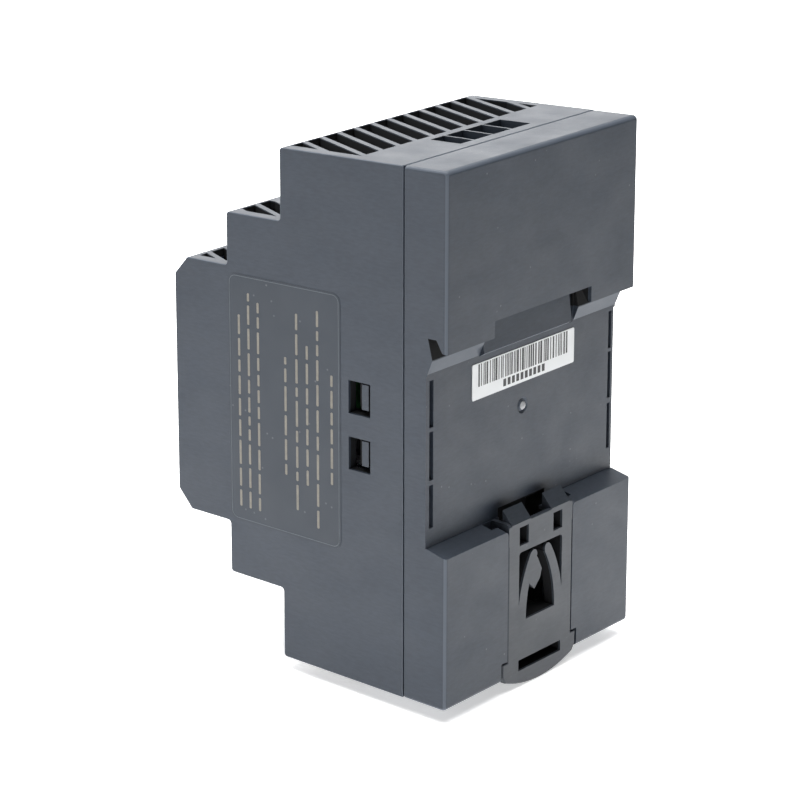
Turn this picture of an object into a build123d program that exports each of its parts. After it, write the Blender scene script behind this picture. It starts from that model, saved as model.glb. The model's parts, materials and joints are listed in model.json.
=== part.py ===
"""DIN rail power supply, three modules wide: a stepped, vented housing that hooks on a 35 mm rail.

Frame: +X is the labelled side, +Y points back to the wall behind the rail, +Z is up when mounted.
Origin: the middle of the rail seat, where the rail's centre line meets the back cover.
All sizes are millimetres.
"""

import os

from build123d import *

os.makedirs("parts", exist_ok=True)

# ---------------------------------------------------------------- overall size
width = 52.5                 # three 17.5 mm modules
height = 90.0
half_width = width / 2
half_height = height / 2
rear_y = 3.5                 # flat back of the upper and lower blocks
seat_y = 0.0                 # rail seat
seam_y = -4.3                # joint between front housing and rear cover
base_front_y = -28.4         # front of the full-height base
middle_front_y = -39.6       # front of the middle step
nose_front_y = -51.0         # front of the nose
middle_z = 32.5              # half height of the middle step
nose_z = 23.1                # half height of the nose
nose_bevel_y = 2.8
nose_bevel_z = 3.3
corner_radius = 0.6          # corners of the side outline
rear_corner_radius = 0.8     # rear edges of the top and bottom
rear_side_radius = 0.6       # rear edges of the two side faces
edge_radius = 0.25           # edges round the side faces of the front housing
seam_bevel = 0.12
seam_gap = 0.22              # shadow gap between the two halves

side_wall = 2.0
wall = 1.4
rim_wall = 3.35              # side wall of the rear cover's rim, which carries the locating lip
play = 0.15                  # gap between parts that slide or slip together

# ---------------------------------------------------------------- vents
rib_pitch = 4.5
rib_width = 1.02
rib_lean = -28.0             # degrees that the ribs lean from front to back
rib_depth = 2.6
vent_side = 24.1             # vents stop here, short of the side walls
base_vent_front_y = -27.6
base_vent_rear_y = -13.85
base_rib_x = 1.8             # x of one rib at the middle of the base vent
middle_vent_front_y = -38.6
middle_vent_rear_y = -29.6
middle_vent_inner_x = 16.0
nose_vent_front_y = -47.2
nose_vent_rear_y = -40.8
pocket_left_x = -11.1        # row of four small pockets behind the top vent
pocket_right_x = 8.2
pocket_front_y = -12.3
pocket_rear_y = -6.65
pocket_rib_x = (-5.95, -0.75, 4.45)
pocket_rib = 0.45
pocket_depth = 3.4
pocket_skirt = 0.6

# ---------------------------------------------------------------- snap windows and hooks
window_z = 4.85              # windows sit this far above and below the rail's centre line
window_height = 5.7
window_front_y = -14.9
window_rear_y = -10.7
hook_height = 4.3
hook_rise = 0.3              # hooks sit this much above the middle of their windows
hook_thickness = 1.6
hook_inset = 0.4             # barb stops this far below the side face
hook_gap = 0.6               # gap behind the barb
hook_barb_y = 1.25           # length of the barb's flat
hook_tip_y = -14.2

# ---------------------------------------------------------------- rail seat and foot
lip_z = 15.4                 # lower edge of the upper block, behind the rail
groove_z = 17.6              # top of the hook groove: the rail's upper edge stops here
ledge_z = -18.7              # top of the lower block at the back
ledge_rise = 0.9
ridge_foot_z = 11.6
ridge_z = 14.0
ridge_y = 0.9                # crest that the rail's upper flange rests on
foot_half = 9.0              # sliding foot, upper part
foot_wide = 10.35            # sliding foot, lower part
foot_flange = 10.9           # hidden flanges that keep the foot in its channel
foot_top_z = -18.0
foot_flange_top_z = -21.5     # the flanges stop here, below the mouth of the channel
foot_rail = 0.9              # thickness of the side rails that stand up to the ledge
foot_skin = 0.6              # thin plate between the teeth, and the floor of the release slot
foot_rail_z = -17.6
foot_shoulder_z = -41.9
foot_side_z = -45.4
foot_bottom_z = -47.25
foot_plate_y = 1.6           # front of the foot's outer plate
foot_back_y = 0.1            # front of the foot's flanges
tooth_tip_y = 1.7
tooth_tip_z = -15.65
tooth_x = (2.9, 8.2)
foot_window_x = 6.1
foot_window_z = (-35.5, -23.3)
small_window_x = (3.5, 6.05)
small_window_z = (-22.1, -18.9)
release_slot_x = 6.0
release_slot_z = (-44.3, -42.4)
channel_half = foot_half + play
channel_wide = 10.75
channel_flange = 11.3
channel_shoulder_z = -41.6
channel_floor_y = -0.15
channel_top_z = -16.0
mouth_radius = 0.8          # rounding where the ledge turns down into the channel

# ---------------------------------------------------------------- terminals
screw_z = 27.4               # height of the clamp screws above the centre line
output_pole_x = (-11.43, -3.81, 3.81, 11.43)
input_pole_x = (-5.715, 5.715)
output_block_half = 15.4
input_block_half = 9.5
polarity_z = 38.5            # raised plus and minus marks above the output terminals
polarity_size = 2.4
polarity_line = 0.6
polarity_relief = 0.3
block_front_y = -37.0
block_rear_y = -26.4
block_inner_z = 22.6
block_outer_z = 30.7
cell_half_x = 2.95
cell_z = (23.6, 30.0)
cell_rear_y = -27.4
block_leg = 1.5
block_leg_height = 3.6
wire_y = -30.5
wire_radius = 1.75
driver_hole_radius = 2.2
cage_half_x = 2.7
cage_z = (24.0, 29.6)
cage_front_y = -34.2
cage_front_wall = 1.1
cage_wall = 0.9
cage_window_half_x = 1.95
cage_rear_y = -27.8
screw_head_front_y = -38.1
screw_head_radius = 2.5
screw_head_thickness = 1.2
screw_radius = 1.45
screw_clearance = 0.05
tongue_front_y = -32.9
tongue_thickness = 0.6
tongue_half_x = 1.8
tongue_z = (21.4, 29.3)
leg_half_x = 0.9

# ---------------------------------------------------------------- boards
board_rear_y = -6.2
board_front_y = -7.8
board_half_x = 22.2
board_half_z = 41.0
peg_x = 20.2
peg_z = 38.9
peg_radius = 0.95
post_radius = 2.1
hold_rib_x = 21.7            # inner edge of the ribs that press the board on its posts
hold_rib_z = (21.7, 23.0)
control_board_x = 15.0
control_board_thickness = 1.0
control_board_z = (-1.0, 19.0)
control_board_front_y = -44.0
panel_x = 12.4               # column of the indicator and the trimmer on the front
trimmer_z = 12.5
indicator_z = 4.5
label_half_x = 23.4
label_half_z = 17.0
label_recess = 0.3
label_thickness = 0.25
label_play = 0.15            # gap round the front label in its seat
label_corner = 1.5
label_hole_margin = 0.3      # the label's holes are this much larger in radius than the housing's
trimmer_hole_radius = 2.3
light_hole_radius = 1.6

# ---------------------------------------------------------------- components
tab_thickness = 1.3          # metal tab of a power package
tab_hole_y = -28.0           # screw hole of the tab and of the heatsink behind it
tab_screw_radius = 1.25
sink_thickness = 1.6
sink_y = (-35.0, -10.0)
solder_pin = 0.35            # half width of a thin pin


def save(piece, name):
    """Label one finished piece and write it under its own name."""
    piece.part.label = name
    export_step(piece.part, f"parts/{name}.step")


def facing_front(y):
    """Plane across the object at depth y; sketches on it are (x, z) and extrude towards the front."""
    return Plane.XZ.offset(-y)


def step_points(back_y):
    """Corners of the stepped side outline as (y, z), closed at back_y."""
    upper = [
        (back_y, half_height),
        (base_front_y, half_height),
        (base_front_y, middle_z),
        (middle_front_y, middle_z),
        (middle_front_y, nose_z),
        (nose_front_y + nose_bevel_y, nose_z),
        (nose_front_y, nose_z - nose_bevel_z),
    ]
    lower = [(y, -z) for y, z in reversed(upper)]
    return upper + lower


def on_plane_y(edges, y):
    """Edges that lie in the plane at depth y."""
    return edges.filter_by(lambda edge: all(abs(v.Y - y) < 1e-4 for v in edge.vertices()))


def box_between(x, y, z, mode=Mode.ADD):
    """Box between two opposite corners, given as a pair of values on each axis in either order."""
    centre = ((x[0] + x[1]) / 2, (y[0] + y[1]) / 2, (z[0] + z[1]) / 2)
    with Locations(centre):
        return Box(abs(x[1] - x[0]), abs(y[1] - y[0]), abs(z[1] - z[0]), mode=mode)


# ================================================================ front housing
base_vent = (base_vent_front_y, base_vent_rear_y, -vent_side, vent_side, half_height, base_rib_x)
nose_vent = (nose_vent_front_y, nose_vent_rear_y, -vent_side, vent_side, nose_z, base_rib_x - 1.0)
middle_vents = [
    (middle_vent_front_y, middle_vent_rear_y, middle_vent_inner_x, vent_side, middle_z, base_rib_x + 1.9),
    (middle_vent_front_y, middle_vent_rear_y, -vent_side, -middle_vent_inner_x, middle_z, base_rib_x + 1.9),
]
rib_count = 15

with BuildPart() as front_housing:
    with BuildSketch(Plane.YZ) as side_outline:
        with BuildLine():
            Polyline(*step_points(seam_y - seam_gap), close=True)
        make_face()
        fillet(side_outline.vertices().filter_by(lambda v: v.X < seam_y - 1), corner_radius)
    extrude(amount=half_width, both=True)
    side_edges = (
        front_housing.faces().sort_by(Axis.X)[0].edges() + front_housing.faces().sort_by(Axis.X)[-1].edges()
    )
    fillet(side_edges - on_plane_y(front_housing.edges(), seam_y - seam_gap), edge_radius)
    chamfer(on_plane_y(front_housing.edges(), seam_y - seam_gap), seam_bevel)

    # the hollow follows the outside, and is open to the back
    with BuildSketch(Plane.YZ) as cavity_outline:
        with BuildLine():
            Polyline(*step_points(rear_y + 5), close=True)
        make_face()
        offset(amount=-wall, kind=Kind.INTERSECTION)
    extrude(amount=half_width - side_wall, both=True, mode=Mode.SUBTRACT)

    # leaning vent ribs in the top and bottom of each step
    for front_y, back_y, left_x, right_x, face_z, rib_x in [base_vent, nose_vent, *middle_vents]:
        field_x = right_x - left_x
        field_y = back_y - front_y
        field_centre = ((left_x + right_x) / 2, (front_y + back_y) / 2)
        for side in (1, -1):
            with BuildSketch(Plane.XY.offset(side * face_z)):
                with Locations(field_centre):
                    Rectangle(field_x, field_y)
            extrude(amount=-side * (wall + 0.2), mode=Mode.SUBTRACT)
            with BuildSketch(Plane.XY.offset(side * face_z)):
                with Locations((rib_x, field_centre[1])):
                    with GridLocations(rib_pitch, 0, rib_count, 1):
                        Rectangle(rib_width, 2 * field_y, rotation=rib_lean)
                with Locations(field_centre):
                    Rectangle(field_x, field_y, mode=Mode.INTERSECT)
            extrude(amount=-side * rib_depth)

    # four small pockets behind the top vent, with a skirt below them
    pocket_centre = ((pocket_left_x + pocket_right_x) / 2, (pocket_front_y + pocket_rear_y) / 2)
    pocket_size = (pocket_right_x - pocket_left_x, pocket_rear_y - pocket_front_y)
    with BuildSketch(Plane.XY.offset(half_height - 0.5)):
        with Locations(pocket_centre):
            Rectangle(pocket_size[0] + 2 * pocket_skirt, pocket_size[1] + 2 * pocket_skirt)
    extrude(amount=0.5 - pocket_depth)
    with BuildSketch(Plane.XY.offset(half_height)):
        with Locations(pocket_centre):
            Rectangle(*pocket_size)
        with Locations(*[(x, pocket_centre[1]) for x in pocket_rib_x]):
            Rectangle(pocket_rib, pocket_size[1], rotation=-3, mode=Mode.SUBTRACT)
    extrude(amount=-pocket_depth - 1, mode=Mode.SUBTRACT)

    # snap windows in both sides
    with BuildSketch(Plane.YZ):
        with Locations(*[((window_front_y + window_rear_y) / 2, s * window_z) for s in (1, -1)]):
            Rectangle(window_rear_y - window_front_y, window_height)
    extrude(amount=half_width, both=True, mode=Mode.SUBTRACT)

    # driver holes in the front of the middle step, wire entries in its top and bottom
    for side, poles in ((1, output_pole_x), (-1, input_pole_x)):
        with BuildSketch(facing_front(middle_front_y)):
            with Locations(*[(x, side * screw_z) for x in poles]):
                Circle(driver_hole_radius)
        extrude(amount=-wall, mode=Mode.SUBTRACT)
        with BuildSketch(Plane.XY.offset(side * middle_z)):
            with Locations(*[(x, wire_y) for x in poles]):
                Circle(wire_radius)
        extrude(amount=-side * wall, mode=Mode.SUBTRACT)

    # shallow seat for the front label, then the holes for the light pipe and the trimmer
    with BuildSketch(facing_front(nose_front_y)) as label_seat:
        Rectangle(2 * label_half_x, 2 * label_half_z)
        fillet(label_seat.vertices(), label_corner)
    extrude(amount=-label_recess, mode=Mode.SUBTRACT)
    with BuildSketch(facing_front(nose_front_y)):
        with Locations((panel_x, trimmer_z)):
            Circle(trimmer_hole_radius)
        with Locations((panel_x, indicator_z)):
            Circle(light_hole_radius)
    extrude(amount=-wall, mode=Mode.SUBTRACT)

    # polarity marks standing out above the output terminals
    with BuildSketch(facing_front(base_front_y)):
        with Locations(*[(x, polarity_z) for x in output_pole_x]):
            Rectangle(polarity_size, polarity_line)
        with Locations(*[(x, polarity_z) for x in output_pole_x[2:]]):
            Rectangle(polarity_line, polarity_size)
    extrude(amount=polarity_relief)

    # ribs that hold the main board down on the rear cover's pegs
    for side_x in (1, -1):
        for side_z in (1, -1):
            box_between(
                (side_x * hold_rib_x, side_x * (half_width - side_wall)),
                (base_front_y + wall, board_front_y - 0.05),
                (side_z * hold_rib_z[0], side_z * hold_rib_z[1]),
            )
save(front_housing, "front_housing")

# ================================================================ rear cover
inner_rim_x = half_width - rim_wall
inner_rim_z = half_height - wall - 1.35
web_y = -2.0                 # inside face of the wall behind the rail
block_inner_y = rear_y - side_wall
panel_inset = 0.25
panel_z = (ledge_z + ledge_rise, 11.2)
slot_depth = 1.6
labelled_side_slots = (24.78, 1.05, ((2.4, 10.3), (-6.5, 1.7), (-14.6, -7.3)))
plain_side_slots = (-25.2, 0.85, ((4.0, 10.6), (-4.9, 3.4), (-14.0, -5.8)))
notch_x = (-13.4, 13.5)
notch_top_z = 18.2
ridge_gap_x = (-13.9, 12.4)
leaf_x = (-12.1, 12.4)
leaf_foot_z = 11.4
leaf_edge_z = 12.0           # lower edge of the leaf, which stands furthest out
leaf_proud = 0.85
leaf_root_y = 0.1
leaf_gap_x = -13.6           # blind gap between the leaf and the ridge on the plain side
leaf_gap_floor_y = -1.1
hook_zone_y = 1.3            # the leaf and the ridge lie in front of this depth, the lip behind it
well_half = 6.4
well_wall = 1.0
well_floor_y = -3.6
well_z = (-37.0, -16.4)
dish_radius = 1.6
dish_depth = 0.35
pip_radius = 0.95
pip_top_y = 0.12

with BuildPart() as rear_cover:
    with BuildSketch(Plane.YZ):
        with BuildLine():
            Polyline(
                (seam_y, -half_height),
                (rear_y, -half_height),
                (rear_y, ledge_z),
                (seat_y, ledge_z + ledge_rise),
                (seat_y, ridge_foot_z),
                (ridge_y, ridge_z),
                (0.1, groove_z),
                (1.65, groove_z),
                (2.7, lip_z + 0.2),
                (rear_y, lip_z),
                (rear_y, half_height),
                (seam_y, half_height),
                close=True,
            )
        make_face()
    extrude(amount=half_width, both=True)
    corner_edges = on_plane_y(rear_cover.edges(), rear_y).filter_by(Axis.X)
    fillet(corner_edges.filter_by(lambda e: abs(e.center().Z) > half_height - 0.01), rear_corner_radius)
    side_edges = rear_cover.edges().filter_by(
        lambda e: abs(e.center().Y - rear_y) < 1e-4 and abs(e.center().X) > 1
    )
    fillet(side_edges, rear_side_radius)
    chamfer(on_plane_y(rear_cover.edges(), seam_y), seam_bevel)

    # hollow rim, then the deeper hollows of the upper and lower blocks
    with BuildSketch(facing_front(web_y)):
        Rectangle(2 * inner_rim_x, 2 * inner_rim_z)
    extrude(amount=web_y - seam_y, mode=Mode.SUBTRACT)
    inner_x = half_width - side_wall
    inner_z = half_height - wall
    box_between((-inner_x, inner_x), (web_y, block_inner_y), (groove_z + 2.4, inner_z), Mode.SUBTRACT)
    for side in (1, -1):
        box_between(
            (side * 13.3, side * inner_x),
            (web_y, block_inner_y),
            (-inner_z, ledge_z - 2),
            Mode.SUBTRACT,
        )

    # lip that locates inside the front housing
    lip_x = half_width - side_wall - play
    lip_height = half_height - wall - play
    with BuildSketch(facing_front(seam_y + 0.5)):
        Rectangle(2 * lip_x, 2 * lip_height)
        Rectangle(2 * inner_rim_x, 2 * inner_rim_z, mode=Mode.SUBTRACT)
    extrude(amount=1.8)

    # notch in the lip, gap in the ridge and the leaf that presses on the rail between them
    box_between(notch_x, (hook_zone_y, rear_y + 1), (lip_z - 1, notch_top_z), Mode.SUBTRACT)
    box_between(ridge_gap_x, (seat_y, hook_zone_y), (ridge_foot_z - 0.2, groove_z), Mode.SUBTRACT)
    with BuildSketch(Plane.YZ.offset((leaf_x[0] + leaf_x[1]) / 2)):
        with BuildLine():
            Polyline(
                (seat_y - 0.5, leaf_foot_z),
                (seat_y, leaf_foot_z),
                (leaf_proud, leaf_edge_z),
                (leaf_root_y, groove_z + 0.5),
                (seat_y - 0.5, groove_z + 0.5),
                close=True,
            )
        make_face()
    extrude(amount=(leaf_x[1] - leaf_x[0]) / 2, both=True)
    box_between(
        (leaf_gap_x, leaf_x[0]), (leaf_gap_floor_y, hook_zone_y), (leaf_foot_z, groove_z), Mode.SUBTRACT
    )

    # shallow panel of the seat with three slots down each side and a moulding pip in the middle
    box_between(
        (-half_width - 1, half_width + 1), (seat_y - panel_inset, seat_y + 0.3), panel_z, Mode.SUBTRACT
    )
    for slot_x, slot_width, slot_ends in (labelled_side_slots, plain_side_slots):
        for low_z, high_z in slot_ends:
            box_between(
                (slot_x - slot_width / 2, slot_x + slot_width / 2),
                (seat_y - slot_depth, seat_y + 0.3),
                (low_z, high_z),
                Mode.SUBTRACT,
            )
    with BuildSketch(facing_front(seat_y)):
        Circle(dish_radius)
    extrude(amount=panel_inset + dish_depth, taper=35, mode=Mode.SUBTRACT)
    pip_base_y = seat_y - panel_inset - dish_depth - 0.2
    with BuildSketch(Plane.XY):
        with BuildLine():
            Line((0, pip_base_y), (0, pip_top_y))
            ThreePointArc(
                (0, pip_top_y), (pip_radius * 0.72, pip_top_y - pip_radius * 0.3), (pip_radius, pip_base_y)
            )
            Line((pip_radius, pip_base_y), (0, pip_base_y))
        make_face()
    revolve(axis=Axis.Y)

    # channel for the sliding foot, open at the top and bottom: each step is (half width, rear depth, top)
    for half_x, back_y, top_z in (
        (channel_half, rear_y + 1, channel_top_z),
        (channel_wide, rear_y + 1, channel_shoulder_z),
        (channel_flange, foot_plate_y + play, channel_top_z),
    ):
        box_between((-half_x, half_x), (channel_floor_y, back_y), (-half_height - 1, top_z), Mode.SUBTRACT)
    mouth_edges = rear_cover.edges().filter_by(
        lambda e: abs(abs(e.center().X) - channel_half) < 0.01
        and ledge_z - 0.2 < e.center().Z < ledge_z + ledge_rise + 0.1
        and e.center().Y > seat_y + 1
        and e.length > 1
    )
    fillet(mouth_edges, mouth_radius)

    # deep well behind the foot's teeth and spring arms
    box_between(
        (-well_half - well_wall, well_half + well_wall),
        (well_floor_y - well_wall, web_y),
        (well_z[0] - well_wall, well_z[1] + well_wall),
    )
    box_between((-well_half, well_half), (well_floor_y, channel_floor_y), well_z, Mode.SUBTRACT)

    # snap hooks that reach forward to the side windows
    hook_outer_x = half_width - side_wall - play
    for side in (1, -1):
        for centre_z in (window_z, -window_z):
            with BuildSketch(Plane.XY.offset(centre_z + hook_rise)):
                with BuildLine():
                    Polyline(
                        (side * (hook_outer_x - hook_thickness), seam_y + 0.5),
                        (side * hook_outer_x, seam_y + 0.5),
                        (side * hook_outer_x, window_rear_y - hook_gap),
                        (side * (half_width - hook_inset), window_rear_y - hook_gap),
                        (side * (half_width - hook_inset), window_rear_y - hook_gap - hook_barb_y),
                        (side * hook_outer_x, hook_tip_y),
                        (side * (hook_outer_x - hook_thickness), hook_tip_y),
                        close=True,
                    )
                make_face()
            extrude(amount=hook_height / 2, both=True)

    # posts and pegs that carry the main board
    for x in (peg_x, -peg_x):
        for z in (peg_z, -peg_z):
            with BuildSketch(facing_front(block_inner_y)):
                with Locations((x, z)):
                    Circle(post_radius)
            extrude(amount=block_inner_y - board_rear_y)
            with BuildSketch(facing_front(board_rear_y)):
                with Locations((x, z)):
                    Circle(peg_radius)
            extrude(amount=board_rear_y - board_front_y + 0.6)
save(rear_cover, "rear_cover")

# ================================================================ sliding rail foot
arm_root_z = foot_window_z[0]
arm_outer = ((foot_window_x, -32.6), (4.75, -27.9), (2.75, -24.1))
arm_inner = ((4.05, arm_root_z), (3.3, -29.9), (1.15, -25.0))
barb = [(0.9, -25.4), (-0.35, -27.8), (0.15, -29.3), (1.7, -30.8), (3.4, -29.3)]

with BuildPart() as rail_foot:
    # outer plate: straight sides, shoulders near the bottom, and a curved lower edge
    with BuildSketch(facing_front(foot_plate_y)) as plate:
        with BuildLine():
            Polyline(
                (-foot_wide + 0.7, foot_side_z),
                (-foot_wide, foot_side_z + 1.2),
                (-foot_wide, foot_shoulder_z),
                (-foot_half, foot_shoulder_z),
                (-foot_half, foot_top_z),
                (foot_half, foot_top_z),
                (foot_half, foot_shoulder_z),
                (foot_wide, foot_shoulder_z),
                (foot_wide, foot_side_z + 1.2),
                (foot_wide - 0.7, foot_side_z),
            )
            ThreePointArc((foot_wide - 0.7, foot_side_z), (0, foot_bottom_z), (-foot_wide + 0.7, foot_side_z))
        make_face()
    extrude(amount=foot_plate_y - rear_y)
    fillet(on_plane_y(rail_foot.edges(), rear_y), 0.25)

    # hidden flanges that run in the housing's channel, and side rails that stand above the ledge
    box_between(
        (-foot_flange, foot_flange), (foot_back_y, foot_plate_y), (foot_shoulder_z + 1, foot_flange_top_z)
    )
    for side in (1, -1):
        with BuildSketch(Plane.YZ.offset(side * (foot_half - foot_rail / 2))) as rail_profile:
            with BuildLine():
                Polyline(
                    (foot_back_y, foot_flange_top_z),
                    (rear_y, foot_flange_top_z),
                    (rear_y, foot_rail_z),
                    (foot_back_y, foot_rail_z),
                    close=True,
                )
            make_face()
            fillet(rail_profile.vertices().sort_by(Axis.Y)[-2:].sort_by(Axis.X)[-1], 0.9)
        extrude(amount=foot_rail / 2, both=True)
    box_between((-foot_half, foot_half), (foot_back_y + 1, foot_plate_y), (foot_flange_top_z, foot_top_z))
    slot_back_y = foot_back_y + 0.3
    box_between(
        (0.7 - foot_wide, foot_wide - 0.7), (slot_back_y, foot_plate_y), (foot_side_z, foot_shoulder_z + 1.2)
    )

    # the window, with an arm left standing at each side
    with BuildSketch(facing_front(foot_back_y)) as spring_window:
        window_middle_z = (foot_window_z[0] + foot_window_z[1]) / 2
        with Locations((0, window_middle_z)):
            Rectangle(2 * foot_window_x, foot_window_z[1] - foot_window_z[0])
        fillet(spring_window.vertices().group_by(Axis.Y)[-1], 0.6)
        for side in (1, -1):
            with BuildLine(mode=Mode.PRIVATE) as arm_edge:
                outer_points = [(side * x, z) for x, z in arm_outer]
                inner_points = [(side * x, z) for x, z in arm_inner]
                ThreePointArc(*outer_points)
                Line(outer_points[-1], inner_points[-1])
                ThreePointArc(*inner_points)
                Polyline(inner_points[0], (side * (foot_window_x + 0.5), arm_root_z), outer_points[0])
            add(make_face(arm_edge.edges(), mode=Mode.PRIVATE), mode=Mode.SUBTRACT)
        with Locations((1.95, -24.75)):
            Circle(0.95, mode=Mode.SUBTRACT)
        with Locations((-1.95, -24.5)):
            Circle(0.8, mode=Mode.SUBTRACT)
        with BuildLine(mode=Mode.PRIVATE) as barb_edge:
            Polyline((2.6, -25.0), *barb, close=True)
        add(make_face(barb_edge.edges(), mode=Mode.PRIVATE), mode=Mode.SUBTRACT)
    extrude(amount=foot_back_y - rear_y, mode=Mode.SUBTRACT)
    # the arms are only as thick as the outer plate
    box_between(
        (-foot_window_x, foot_window_x), (foot_back_y, foot_plate_y), (foot_window_z[0], foot_window_z[1]),
        Mode.SUBTRACT,
    )

    # small windows below the teeth, the blind release slot, and the hollow between the windows
    for side in (1, -1):
        box_between(
            (side * small_window_x[0], side * small_window_x[1]),
            (foot_back_y - 1, rear_y + 1),
            small_window_z,
            Mode.SUBTRACT,
        )
    box_between(
        (-release_slot_x, release_slot_x),
        (slot_back_y + foot_skin, rear_y + 1),
        release_slot_z,
        Mode.SUBTRACT,
    )
    box_between(
        (-tooth_x[0], tooth_x[0]), (foot_back_y - 1, rear_y - foot_skin), (foot_window_z[1], foot_rail_z),
        Mode.SUBTRACT,
    )

    # two ramped teeth that snap behind the rail's lower edge
    for side in (1, -1):
        with BuildSketch(Plane.YZ.offset(side * (tooth_x[0] + tooth_x[1]) / 2)):
            with BuildLine():
                Polyline(
                    (rear_y, foot_top_z),
                    (tooth_tip_y, tooth_tip_z),
                    (tooth_tip_y, foot_top_z - 0.5),
                    (rear_y, foot_top_z - 0.5),
                    close=True,
                )
            make_face()
        extrude(amount=(tooth_x[1] - tooth_x[0]) / 2, both=True)
save(rail_foot, "rail_foot")

# ================================================================ labels
side_label_centre = (-27.9, -0.2)    # (y, z)
side_label_size = (22.9, 44.3)
side_label_thickness = 0.05
with BuildPart() as side_label:
    with BuildSketch(Plane.YZ.offset(half_width)) as side_label_outline:
        with Locations(side_label_centre):
            Rectangle(*side_label_size)
        fillet(side_label_outline.vertices(), 1.6)
    extrude(amount=side_label_thickness)
save(side_label, "side_label")

sticker_centre = (-0.2, 7.15)        # (x, z)
sticker_size = (28.5, 6.1)
sticker_thickness = 0.1
with BuildPart() as serial_sticker:
    with BuildSketch(facing_front(seat_y - panel_inset)) as sticker_outline:
        with Locations(sticker_centre):
            Rectangle(*sticker_size)
        fillet(sticker_outline.vertices(), 0.3)
    extrude(amount=-sticker_thickness)
save(serial_sticker, "serial_sticker")

label_rear_y = nose_front_y + label_recess
with BuildPart() as front_label:
    with BuildSketch(facing_front(label_rear_y)) as front_label_outline:
        Rectangle(2 * (label_half_x - label_play), 2 * (label_half_z - label_play))
        fillet(front_label_outline.vertices(), label_corner - label_play)
        with Locations((panel_x, trimmer_z)):
            Circle(trimmer_hole_radius + label_hole_margin, mode=Mode.SUBTRACT)
        with Locations((panel_x, indicator_z)):
            Circle(light_hole_radius + label_hole_margin, mode=Mode.SUBTRACT)
    extrude(amount=label_thickness)
save(front_label, "front_label")

# ================================================================ front panel parts
light_pipe_rear_y = -46.6
light_pipe_radius = light_hole_radius - 0.1
light_pipe_collar_radius = 2.1
with BuildPart() as light_pipe:
    with BuildSketch(facing_front(light_pipe_rear_y)):
        with Locations((panel_x, indicator_z)):
            Circle(light_pipe_radius)
    extrude(amount=light_pipe_rear_y - nose_front_y)
    fillet(light_pipe.faces().sort_by(Axis.Y)[0].edges(), 0.3)
    with BuildSketch(facing_front(nose_front_y + wall + 0.9)):
        with Locations((panel_x, indicator_z)):
            Circle(light_pipe_collar_radius)
    extrude(amount=0.85)
save(light_pipe, "light_pipe")

indicator_base_y = -42.6
led_radius = 1.5
led_height = 3.7
led_rim_radius = 1.8
led_rim_height = 0.9
led_lead_y = (-41.4, -40.9)  # the leads turn sideways to the control board here
led_lead_pitch = 2.54
led_lead_half = 0.25
with BuildPart() as indicator_led:
    with BuildSketch(facing_front(indicator_base_y)):
        with Locations((panel_x, indicator_z)):
            Circle(led_radius)
    extrude(amount=led_height)
    fillet(indicator_led.faces().sort_by(Axis.Y)[0].edges(), 1.2)
    with BuildSketch(facing_front(indicator_base_y)):
        with Locations((panel_x, indicator_z)):
            Circle(led_rim_radius)
    extrude(amount=led_rim_height)
    for side in (1, -1):
        centre_z = indicator_z + side * led_lead_pitch / 2
        lead_z = (centre_z - led_lead_half, centre_z + led_lead_half)
        lead_x = (panel_x - led_lead_half, panel_x + led_lead_half)
        box_between(lead_x, (led_lead_y[0], indicator_base_y), lead_z)
        box_between((lead_x[0], control_board_x), led_lead_y, lead_z)
save(indicator_led, "indicator_led")

trimmer_body_front_y = -46.8
trimmer_body_rear_y = -42.2
trimmer_body_half = 3.2
rotor_radius = 1.9
rotor_sunk = 1.55            # the rotor sits this deep in the body's round pocket
rotor_front_y = trimmer_body_front_y - 1.75
with BuildPart() as trimmer_body:
    box_between(
        (panel_x - trimmer_body_half, control_board_x),
        (trimmer_body_rear_y, trimmer_body_front_y),
        (trimmer_z - trimmer_body_half, trimmer_z + trimmer_body_half),
    )
    fillet(trimmer_body.edges().filter_by(Axis.Y), 0.4)
    with BuildSketch(facing_front(trimmer_body_front_y)):
        with Locations((panel_x, trimmer_z)):
            Circle(rotor_radius + 0.05)
    extrude(amount=-rotor_sunk - 0.05, mode=Mode.SUBTRACT)
    for lead_z in (trimmer_z - 2, trimmer_z, trimmer_z + 2):
        box_between(
            (panel_x + 0.2, control_board_x),
            (trimmer_body_rear_y, trimmer_body_rear_y + 0.5),
            (lead_z - 0.25, lead_z + 0.25),
        )
save(trimmer_body, "trimmer_body")

with BuildPart() as trimmer_rotor:
    with BuildSketch(facing_front(trimmer_body_front_y + rotor_sunk)):
        with Locations((panel_x, trimmer_z)):
            Circle(rotor_radius)
    extrude(amount=trimmer_body_front_y + rotor_sunk - rotor_front_y)
    fillet(trimmer_rotor.faces().sort_by(Axis.Y)[0].edges(), 0.2)
    with BuildSketch(facing_front(rotor_front_y)):
        with Locations((panel_x, trimmer_z)):
            Rectangle(2.8, 0.6)
            Rectangle(0.6, 2.8)
    extrude(amount=-0.8, mode=Mode.SUBTRACT)
save(trimmer_rotor, "trimmer_rotor")


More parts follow.
